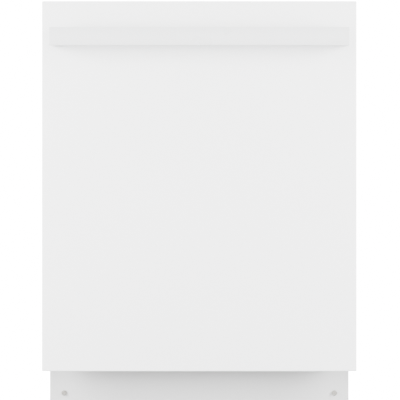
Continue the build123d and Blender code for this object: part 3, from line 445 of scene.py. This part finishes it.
def lower_rack():
    runs = basket(LOWER, LOWER_DIP)
    combs = []
    for x in LOWER_COMB_XS:
        combs += comb(x, *LOWER_COMB_Y, LOWER_BASE, *LOWER_TINES)
    obj = wires("lower_rack_wires", runs + combs, "nylon")
    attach(obj, "lower_rack")
    beads("lower_tine_tips", tips(combs), TIP_R, "nylon", "lower_rack")
    shape = bmesh.new()
    for side in (-1, 1):
        for y in WHEEL_YS:
            wheel_carrier(shape, side, y)
    carrier = finished("wheel_carriers", shape, "grey_plastic", "lower_rack", smooth=False)
    bevel(carrier, 1.2 * MM)
    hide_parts("lower_rack")


def box(shape, centre, size):
    """Adds a box, both arguments in metres, to a bmesh."""
    place = Matrix.Translation(centre) @ Matrix.Diagonal((*size, 1))
    bmesh.ops.create_cube(shape, size=1, matrix=place)


CARRIER_BELOW, CARRIER_ABOVE = 9 * MM, 22 * MM  # under the axle, and over the basket's floor
CARRIER_THICK, CARRIER_WIDE = 7 * MM, 20 * MM
AXLE, AXLE_BOSS = (17.5 * MM, 3 * MM), (4 * MM, 8 * MM)  # length and radius
AXLE_START = 1 * MM


def wheel_carrier(shape, side, y):
    """Adds a moulded clip over the basket's wires with the wheel's axle on its outside."""
    x = side * LOWER["half"]
    low, high = WHEEL_Z - CARRIER_BELOW, LOWER["floor"] + CARRIER_ABOVE
    box(shape, (x, y, (low + high) / 2), (CARRIER_THICK, CARRIER_WIDE, high - low))
    turn = Matrix.Rotation(math.radians(90), 4, "Y")
    for length, radius in (AXLE, AXLE_BOSS):
        centre = Matrix.Translation((x + side * (AXLE_START + length / 2), y, WHEEL_Z))
        bmesh.ops.create_cone(
            shape,
            cap_ends=True,
            segments=32,
            radius1=radius,
            radius2=radius,
            depth=length,
            matrix=centre @ turn,
        )


def bevel(obj, width, segments=2):
    mod = obj.modifiers.new("bevel", "BEVEL")
    mod.width = width
    mod.segments = segments
    mod.limit_method = "ANGLE"


def fold_tines():
    runs = comb(FOLD_COMB_X, *LOWER_COMB_Y, LOWER_BASE + FOLD_LIFT, *LOWER_TINES)
    obj = wires("fold_tine_wires", runs, "nylon")
    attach(obj, "fold_tines")
    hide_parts("lower_fold_tines")
    beads("fold_tine_tips", tips(runs), TIP_R, "nylon", "fold_tines")


def upper_rack():
    runs = basket(UPPER, UPPER_DIP)
    combs = []
    for x in UPPER_COMB_XS:
        combs += comb(x, *UPPER_COMB_Y, UPPER_BASE, *UPPER_TINES)
    obj = wires("upper_rack_wires", runs + combs, "nylon")
    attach(obj, "upper_rack")
    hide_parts("upper_rack")
    beads("upper_tine_tips", tips(combs), TIP_R, "nylon", "upper_rack")
    feed_pipe()
    adjusters()


PIPE_BACK, PIPE_Z, PIPE_R = 272 * MM, 551 * MM, 6.3 * MM
PIPE_JOINT = 12 * MM  # from the bearing's middle to where the pipe's straight run ends
BANDS, BAND_START, BAND_PITCH = 7, 60 * MM, 30 * MM
BAND_WIDTH, BAND_R = 3 * MM, 6.9 * MM
BEARING = ((542.6, 557.8, 11), (525, 543, 7.9), (523, 527.4, 11))  # low, high and radius in millimetres


def feed_pipe():
    """The banded pipe under the upper rack, which ends in the middle arm's bearing."""
    y, z = MIDDLE_ARM_Y, PIPE_Z
    pipe = [Vector((0, PIPE_BACK, z)), Vector((0, y + PIPE_JOINT, z)), Vector((0, y, z))]
    runs = [(pipe, PIPE_R, False)]
    for z0, z1, radius in BEARING:
        runs.append(([Vector((0, y, z0 * MM)), Vector((0, y, z1 * MM))], radius * MM, False))
    for k in range(BANDS):
        yk = BAND_START + BAND_PITCH * k
        runs.append(([Vector((0, yk, z)), Vector((0, yk + BAND_WIDTH, z))], BAND_R, False))
    obj = wires("upper_feed_pipe", runs, "grey_plastic", resolution=8)
    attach(obj, "upper_rack")


ADJUSTER_X, ADJUSTER_Y = 251.2, 30  # millimetres, like the boxes' places and sizes below
RIBS, RIB_START, RIB_PITCH = 9, -34, 16


def adjusters():
    """The height adjusters: ribbed plates clipped to the rack's sides, with a lift lever."""
    shape = bmesh.new()
    for side in (-1, 1):
        plate = ((ADJUSTER_X, ADJUSTER_Y, 640), (2.4, 160, 68))
        lever = ((ADJUSTER_X - 4.5, ADJUSTER_Y, 668), (4, 70, 10))
        ribs = [((ADJUSTER_X - 3, RIB_START + k * RIB_PITCH, 634), (3, 3, 46)) for k in range(RIBS)]
        for (x, y, z), size in (plate, lever, *ribs):
            box(shape, Vector((side * x, y, z)) * MM, Vector(size) * MM)
    obj = finished("height_adjusters", shape, "grey_plastic", "upper_rack", smooth=False)
    bevel(obj, 0.8 * MM)


SHELF_X, SHELF_Y, SHELF_Z = (132 * MM, 241.2 * MM), (-150 * MM, 160 * MM), 672 * MM
SHELF_RIM_R, SHELF_HINGE_R = 2.2 * MM, 2.6 * MM
SHELF_OVERHANG = 3 * MM  # of the hinge wire past the rim
SHELF_INSET, SHELF_PITCH = 18 * MM, 22 * MM
SHELF_SAG = 6 * MM  # of the cross wires, which cradle a cup's rim
SHELF_BEND, SAG_BEND = 14 * MM, 12 * MM
SAG_START, SAG_LOW = 30 * MM, 55 * MM  # in from the rim to where a wire dips, and to its lowest point


def cup_shelf():
    """The folding shelf: a rim, the wire it hinges on and sagging cross wires."""
    (x0, x1), (y0, y1), z = SHELF_X, SHELF_Y, SHELF_Z
    outline = [(x1, y0, z), (x0, y0, z), (x0, y1, z), (x1, y1, z)]
    runs = [(bent(outline, SHELF_BEND), SHELF_RIM_R, False)]
    hinge = [Vector((x1, y0 - SHELF_OVERHANG, z)), Vector((x1, y1 + SHELF_OVERHANG, z))]
    runs.append((hinge, SHELF_HINGE_R, False))
    for y in spread(y0 + SHELF_INSET, y1 - SHELF_INSET, SHELF_PITCH):
        wave = [
            (x0, y, z),
            (x0 + SAG_START, y, z),
            (x0 + SAG_LOW, y, z - SHELF_SAG),
            (x1 - SAG_START, y, z),
            (x1, y, z),
        ]
        runs.append((bent(wave, SAG_BEND), TINE_R, False))
    obj = wires("cup_shelf_wires", runs, "nylon")
    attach(obj, "cup_shelf")
    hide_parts("cup_shelf")


# ---------------------------------------------------------------- door balance
SPRING_X = SPRING_HIGH.x - 6 * MM
SPRING_Z = (SPRING_LOW.z + SPRING_HIGH.z) / 2
COIL_START, COIL_STOP = SPRING_LOW.y + 12 * MM, SPRING_HIGH.y - 10 * MM
COIL_WIRE, COIL_R = 1.0 * MM, 4.9 * MM
COIL_TURNS, COIL_STEPS = 58, 14
HOOK_LEAD = 3 * MM  # past the coil, where a hook's wire has come to the axis
HOOK_BEND, HOOK_OUT = 1 * MM, COIL_R * 0.7  # past the coil and off the axis, on the way there
HOOK_IN_LINK, HOOK_IN_ANCHOR, CABLE_IN_LINK = 5 * MM, 1 * MM, 4 * MM


def coil(side):
    """An extension spring with a hook at each end."""
    x, z = side * SPRING_X, SPRING_Z
    y0, y1 = COIL_START, COIL_STOP
    points = []
    for i in range(COIL_TURNS * COIL_STEPS + 1):
        a = 2 * math.pi * i / COIL_STEPS
        y = y0 + (y1 - y0) * i / (COIL_TURNS * COIL_STEPS)
        points.append(Vector((x + COIL_R * math.cos(a), y, z + COIL_R * math.sin(a))))
    front = [
        Vector((x, LINK_HIGH.y - HOOK_IN_LINK, z)),
        Vector((x, y0 - HOOK_LEAD, z)),
        Vector((x + HOOK_OUT, y0 - HOOK_BEND, z)),
    ]
    back = [
        Vector((x + HOOK_OUT, y1 + HOOK_BEND, z)),
        Vector((x, y1 + HOOK_LEAD, z)),
        Vector((x, SPRING_HIGH.y + HOOK_IN_ANCHOR, z)),
    ]
    return [(front + points + back, COIL_WIRE, False)]


def springs():
    for side, label in SIDES:
        obj = as_mesh(wires(f"{label}_spring", coil(side), "spring_steel"))
        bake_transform(obj)
        if side > 0:
            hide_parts("door_springs")


STRANDS, LAY = 6, 9 * MM  # strands in a rope, and the length of one twist
STRAND_PLACE, STRAND_SIZE = 0.62, 0.40  # of the rope's radius
RUN_STEPS, WRAP_STEPS = 60, 40


def rope(path, radius, name):
    """A twisted wire rope along a list of points that lie in one plane across X."""
    runs = []
    travelled = [0.0]
    for a, b in zip(path, path[1:]):
        travelled.append(travelled[-1] + (b - a).length)
    side = Vector((1, 0, 0))
    for k in range(STRANDS):
        line = []
        for i, p in enumerate(path):
            ahead = (path[min(i + 1, len(path) - 1)] - path[max(i - 1, 0)]).normalized()
            up = side.cross(ahead)
            a = 2 * math.pi * (travelled[i] / LAY + k / STRANDS)
            line.append(p + (side * math.cos(a) + up * math.sin(a)) * radius * STRAND_PLACE)
        runs.append((line, radius * STRAND_SIZE, False))
    return wires(name, runs, "spring_steel")


def cables():
    """Each cable's straight run is baked in place, and its wrapped part turns with the quadrant."""
    z = (CABLE_LOW.z + CABLE_HIGH.z) / 2
    core = (CABLE_HIGH.z - CABLE_LOW.z) / 2
    for side, label in SIDES:
        x = side * (CABLE_HIGH.x - core)
        y0, y1 = CABLE_LOW.y, LINK_LOW.y + CABLE_IN_LINK
        line = [Vector((x, y0 + (y1 - y0) * i / RUN_STEPS, z)) for i in range(RUN_STEPS + 1)]
        run = as_mesh(rope(line, core, f"{label}_cable"))
        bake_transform(run)
        if side > 0:
            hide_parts("balance_cables")
        r = z - HINGE_Z
        arc = []
        for i in range(WRAP_STEPS + 1):
            a = math.pi / 2 * i / WRAP_STEPS
            arc.append(Vector((x, HINGE_Y + r * math.cos(a), HINGE_Z + r * math.sin(a))))
        wrap = rope(arc, core, f"{label}_cable_wrap")
        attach(wrap, "door")


# ---------------------------------------------------------------- felt mats
MAT_STEP = 9 * MM
LUMP_HEIGHT, LUMPS = 1.3 * MM, 28  # height of the felt's unevenness, and its lumps per metre
LUMP_ROUGHNESS, LUMP_LACUNARITY, LUMP_OCTAVES = 0.6, 2.0, 3
PIN_PITCH, PIN_DEPTH, PIN_REACH = 130 * MM, 3.2 * MM, 14 * MM
EDGE_DEPTH, EDGE_REACH = 3.5 * MM, 7 * MM
BLANKET_THICK, FELT_THICK = 7.6 * MM, 16.5 * MM
BACK_SIDE_GAP, BACK_TOP_GAP = 14 * MM, 6 * MM  # back mat's edges inside the hood's sides and tub's top
FELT_SINK = 1 * MM


def off_pin(distance):
    """How far a place along the mat is from the nearest row of pins."""
    return (distance + PIN_PITCH / 2) % PIN_PITCH - PIN_PITCH / 2


def mat(name, surface, length, width, thick, body, material):
    """A soft sheet over surface(u, v) -> (point, outward normal), dimpled where its pins hold it."""
    nu, nv = round(length / MAT_STEP), round(width / MAT_STEP)
    outer, inner = [], []
    shape = bmesh.new()
    for i in range(nu + 1):
        for j in range(nv + 1):
            u, v = i / nu * length, j / nv * width
            point, normal = surface(u, v)
            lump = noise.fractal(point * LUMPS, LUMP_ROUGHNESS, LUMP_LACUNARITY, LUMP_OCTAVES) * LUMP_HEIGHT
            du, dv = off_pin(u), off_pin(v)
            dimple = PIN_DEPTH * math.exp(-(du * du + dv * dv) / PIN_REACH**2)
            edge = min(i, nu - i, j, nv - j) * MAT_STEP
            pinch = EDGE_DEPTH * math.exp(-edge / EDGE_REACH)
            outer.append(shape.verts.new(point + normal * (lump - dimple - pinch)))
            inner.append(shape.verts.new(point - normal * thick))

    def at(i, j):
        return i * (nv + 1) + j

    for i in range(nu):
        for j in range(nv):
            quad = [at(i, j), at(i + 1, j), at(i + 1, j + 1), at(i, j + 1)]
            shape.faces.new([outer[k] for k in quad])
            shape.faces.new([inner[k] for k in reversed(quad)])
    rim = [at(i, 0) for i in range(nu)] + [at(nu, j) for j in range(nv)]
    rim += [at(i, nv) for i in range(nu, 0, -1)] + [at(0, j) for j in range(nv, 0, -1)]
    for a, b in zip(rim, rim[1:] + rim[:1]):
        shape.faces.new([outer[b], outer[a], inner[a], inner[b]])
    bmesh.ops.recalc_face_normals(shape, faces=shape.faces)
    obj = finished(name, shape, material, body)
    return obj


HOOD_LIFT, HOOD_BEND = 32 * MM, 22 * MM  # the sides' foot above the back mat's, and the bend over the tub


def hood():
    """The blanket over the tub's two sides and top."""
    x, bottom, top = HOOD_HIGH.x, HOOD_LOW.z + HOOD_LIFT, HOOD_HIGH.z
    radius = HOOD_BEND
    up, arc, across = top - radius - bottom, radius * math.pi / 2, 2 * (x - radius)
    y0, y1 = HOOD_LOW.y, TUB_HIGH.y

    def surface(u, v):
        y = y0 + v
        if u <= up:
            return Vector((-x, y, bottom + u)), Vector((-1, 0, 0))
        u -= up
        if u <= arc:
            a = u / radius
            n = Vector((-math.cos(a), 0, math.sin(a)))
            return Vector((-x + radius, y, top - radius)) + n * radius, n
        u -= arc
        if u <= across:
            return Vector((-x + radius + u, y, top)), Vector((0, 0, 1))
        u -= across
        if u <= arc:
            a = u / radius
            n = Vector((math.sin(a), 0, math.cos(a)))
            return Vector((x - radius, y, top - radius)) + n * radius, n
        return Vector((x, y, top - radius - (u - arc))), Vector((1, 0, 0))

    length = 2 * up + 2 * arc + across
    return mat("sound_blanket", surface, length, y1 - y0, BLANKET_THICK, "cabinet", "blanket")


def back_mat():
    """The blanket's flat piece behind the tub."""
    x, y = HOOD_HIGH.x - BACK_SIDE_GAP, HOOD_HIGH.y
    z0, z1 = HOOD_LOW.z, TUB_HIGH.z - BACK_TOP_GAP

    def surface(u, v):
        return Vector((-x + u, y, z0 + v)), Vector((0, 1, 0))

    return mat("back_blanket", surface, 2 * x, z1 - z0, BLANKET_THICK, "cabinet", "blanket")


def door_felt():
    """The mat between the door's panel and its liner."""
    low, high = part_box("door_insulation")

    def surface(u, v):
        return Vector((low.x + u, high.y - FELT_SINK, low.z + v)), Vector((0, 1, 0))

    obj = mat("door_felt", surface, high.x - low.x, high.z - low.z, FELT_THICK, "door", "insulation")
    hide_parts("door_insulation")


# ---------------------------------------------------------------- hoses
# millimetres, along each hose's middle
DRAIN_PATH = [(-143, 76.5, 140), (-143, 150, 140), (-190, 210, 66), (-190, 269.5, 66)]
FILL_PATH = [(-215, -113.5, 100), (-215, -50, 100), (-215, -50, 203)]
DRAIN_BEND, FILL_BEND, FILL_R = 28 * MM, 24 * MM, 7 * MM
DRAIN_STEP, FILL_STEP = 1.1 * MM, 4 * MM
RIB_MEAN, RIB_SWING, RIB_TURN = 9.4, 0.75, 1.35  # the drain hose's radius, its ribs, radians a step
CUFF_STEPS, CUFF_R = 14, 9.9 * MM
HOSE_CLIPS = (((-143, 84, 140), 10.6), ((-190, 262, 66), 10.6), ((-215, -106, 100), 7.7))


def resampled(points, step):
    """The polyline's points, spaced evenly along it."""
    out, carried = [points[0]], 0.0
    for a, b in zip(points, points[1:]):
        span = (b - a).length
        at = step - carried
        while at <= span:
            out.append(a.lerp(b, at / span))
            at += step
        carried = span - (at - step)
    return out + [points[-1]]


def hoses():
    """The ribbed drain hose and the smooth fill hose, both short moulded runs fixed at each end."""
    drain = resampled(bent([Vector(p) * MM for p in DRAIN_PATH], DRAIN_BEND), DRAIN_STEP)
    radii = [(RIB_MEAN + RIB_SWING * math.sin(i * RIB_TURN)) * MM for i in range(len(drain))]
    for i in range(CUFF_STEPS):
        radii[i] = radii[-1 - i] = CUFF_R
    fill = resampled(bent([Vector(p) * MM for p in FILL_PATH], FILL_BEND), FILL_STEP)
    obj = wires("hose_runs", [(drain, radii, False), (fill, FILL_R, False)], "hose", resolution=6)
    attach(obj, "cabinet")
    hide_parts("water_hoses")
    clips = []
    for centre, radius in HOSE_CLIPS:
        clips += clip(Vector(centre) * MM, radius * MM)
    obj = wires("hose_clips", clips, "zinc")
    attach(obj, "cabinet")


CLIP_WIRE, CLIP_SHIFT, CLIP_GRIP = 0.9 * MM, 1.6 * MM, 6 * MM
CLIP_START, CLIP_SWEEP, CLIP_STEPS = 100, 345, 32  # degrees, degrees, count


def clip(centre, radius):
    """A spring clip on a hose along Y: two wire turns, each with a grip end."""
    runs = []
    for shift in (-CLIP_SHIFT, CLIP_SHIFT):
        ring = []
        for i in range(CLIP_STEPS + 1):
            a = math.radians(CLIP_START + CLIP_SWEEP * i / CLIP_STEPS)
            ring.append(centre + Vector((radius * math.cos(a), shift, radius * math.sin(a))))
        end = ring[-1] + Vector((0, 0, CLIP_GRIP))
        runs.append((ring + [end], CLIP_WIRE, False))
    return runs


# ---------------------------------------------------------------- console
RING = [(math.cos(math.pi * i / 12), math.sin(math.pi * i / 12)) for i in range(24)]
WAVES = [[(0.75 * k + 0.25 * math.sin(i * 0.8), (i - 5) * 5 / 24) for i in range(11)] for k in (-1, 0, 1)]
SQUARE = [(-1, -0.8), (1, -0.8), (1, 0.8), (-1, 0.8)]
PLAY = [(-0.8, -1), (1, 0), (-0.8, 1)]
# the lines of each button's sign in units of SIGN_SIZE, and whether they close
SIGNS = {
    "cycle_button": ([RING], True),
    "dry_button": (WAVES, False),
    "lock_button": ([SQUARE], True),
    "start_button": ([PLAY], True),
}
SIGN_SIZE, SIGN_LINE = 2.4 * MM, 0.35 * MM
SIGN_GAP, SIGN_LIFT = 5.2 * MM, 0.08 * MM


def console_marks():
    """Plain printed signs behind the buttons: a ring, waves, a square and a play mark."""
    runs = []
    for node, (lines, closed) in SIGNS.items():
        low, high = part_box(node)
        centre = Vector(((low.x + high.x) / 2, high.y + SIGN_GAP, CONSOLE_TOP + SIGN_LIFT))
        for line in lines:
            points = [centre + Vector((x, y, 0)) * SIGN_SIZE for x, y in line]
            runs.append((points, SIGN_LINE, closed))
    obj = wires("console_signs", runs, "grey_plastic", resolution=1)
    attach(obj, "door")


WINDOWS, WINDOW_START, WINDOW_PITCH = 6, 60 * MM, 22 * MM
WINDOW_R, WINDOW_SINK = 2.1 * MM, 0.5 * MM


def indicators():
    """Smoked light windows, slightly domed, in the console's six holes."""
    shape = bmesh.new()
    low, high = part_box("start_button")
    for i in range(WINDOWS):
        centre = (WINDOW_START + WINDOW_PITCH * i, (low.y + high.y) / 2, CONSOLE_TOP - WINDOW_SINK)
        bmesh.ops.create_uvsphere(
            shape,
            u_segments=20,
            v_segments=10,
            radius=WINDOW_R,
            matrix=Matrix.Translation(centre) @ Matrix.Diagonal((1, 1, 0.2, 1)),
        )
    obj = finished("indicator_windows", shape, "dark_plastic", "door")


# ---------------------------------------------------------------- light, floor and camera
CAMERA_BACK = 3.0
VIEW_SPAN = 0.7656  # width of the picture at the door's face
VIEW_CENTRE_X, VIEW_CENTRE_Z = 1.4 * MM, 0.469
SENSOR = 36.0
SURROUND_LIGHT, SURROUND_SHOWN = 1.5, 22.0
FLOOR_SIZE = 16.0
FLOOR_GLOW = 20.0  # of the floor behind the machine, to merge with the surround
GLOW_START, GLOW_FULL = 0.05, 0.5  # how far back the glow begins and is whole
# name, place, aim, width, height, watts
SOFTBOXES = (
    ("left_bank", (-1.75, -1.15, 0.9), (-0.1, -0.28, 0.6), 0.8, 1.3, 190),
    ("right_bank", (1.75, -1.15, 0.9), (0.1, -0.28, 0.6), 0.8, 1.3, 178),
    ("key", (0, -3.4, 0.75), (0, -0.3, 0.62), 2.6, 1.6, 90),
    ("top", (0, 0.2, 3.0), (0, 0, 0.5), 2.0, 2.0, 60),
)


def camera():
    data = bpy.data.cameras.new("camera")
    data.sensor_width = SENSOR
    data.lens = SENSOR * CAMERA_BACK / VIEW_SPAN
    data.clip_end = 50
    cam = bpy.data.objects.new("camera", data)
    bpy.context.scene.collection.objects.link(cam)
    cam.location = (VIEW_CENTRE_X, DOOR_FACE - CAMERA_BACK, VIEW_CENTRE_Z)
    cam.rotation_euler = (math.radians(90), 0, 0)
    bpy.context.scene.camera = cam


def softbox(name, place, target, width, height, power):
    data = bpy.data.lights.new(name, "AREA")
    data.shape = "RECTANGLE"
    data.size, data.size_y, data.energy = width, height, power
    lamp = bpy.data.objects.new(name, data)
    bpy.context.scene.collection.objects.link(lamp)
    lamp.location = place
    aim = Vector(target) - Vector(place)
    lamp.rotation_euler = aim.to_track_quat("-Z", "Y").to_euler()


def studio():
    """A white surround, lit softly and shown as pure white, with two side banks, a key and a top light."""
    world = bpy.data.worlds.new("studio")
    world.use_nodes = True
    tree = world.node_tree
    back = tree.nodes["Background"]
    back.inputs["Color"].default_value = (1, 1, 1, 1)
    ray = tree.nodes.new("ShaderNodeLightPath")
    level = tree.nodes.new("ShaderNodeMapRange")
    level.inputs["To Min"].default_value = SURROUND_LIGHT
    level.inputs["To Max"].default_value = SURROUND_SHOWN
    tree.links.new(ray.outputs["Is Camera Ray"], level.inputs["Value"])
    tree.links.new(level.outputs["Result"], back.inputs["Strength"])
    bpy.context.scene.world = world
    for lamp in SOFTBOXES:
        softbox(*lamp)


def floor():
    """Grey paper under the machine, which glows behind it like the surround."""
    mesh = bpy.data.meshes.new("floor")
    s = FLOOR_SIZE / 2
    mesh.from_pydata([(-s, -s, 0), (s, -s, 0), (s, s, 0), (-s, s, 0)], [], [(0, 1, 2, 3)])
    obj = bpy.data.objects.new("floor", mesh)
    bpy.context.scene.collection.objects.link(obj)
    p = Paint("floor_paper", (0.34, 0.34, 0.34), 0.9, Emission_Color=(1, 1, 1, 1))
    split = p.add("ShaderNodeSeparateXYZ")
    p.link(p.place, split.inputs["Vector"])
    glow = p.range(split.outputs["Y"], 0.0, FLOOR_GLOW, GLOW_START, GLOW_FULL)
    p.link(glow, p.shader.inputs["Emission Strength"])
    p.tint(p.noise(0.4), 0.99)
    mesh.materials.append(p.mat)


lower_rack()
fold_tines()
upper_rack()
cup_shelf()
springs()
cables()
blanket = hood()
back_mat()
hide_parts("tub_insulation")
door_felt()
hoses()
console_marks()
indicators()
camera()
studio()
floor()
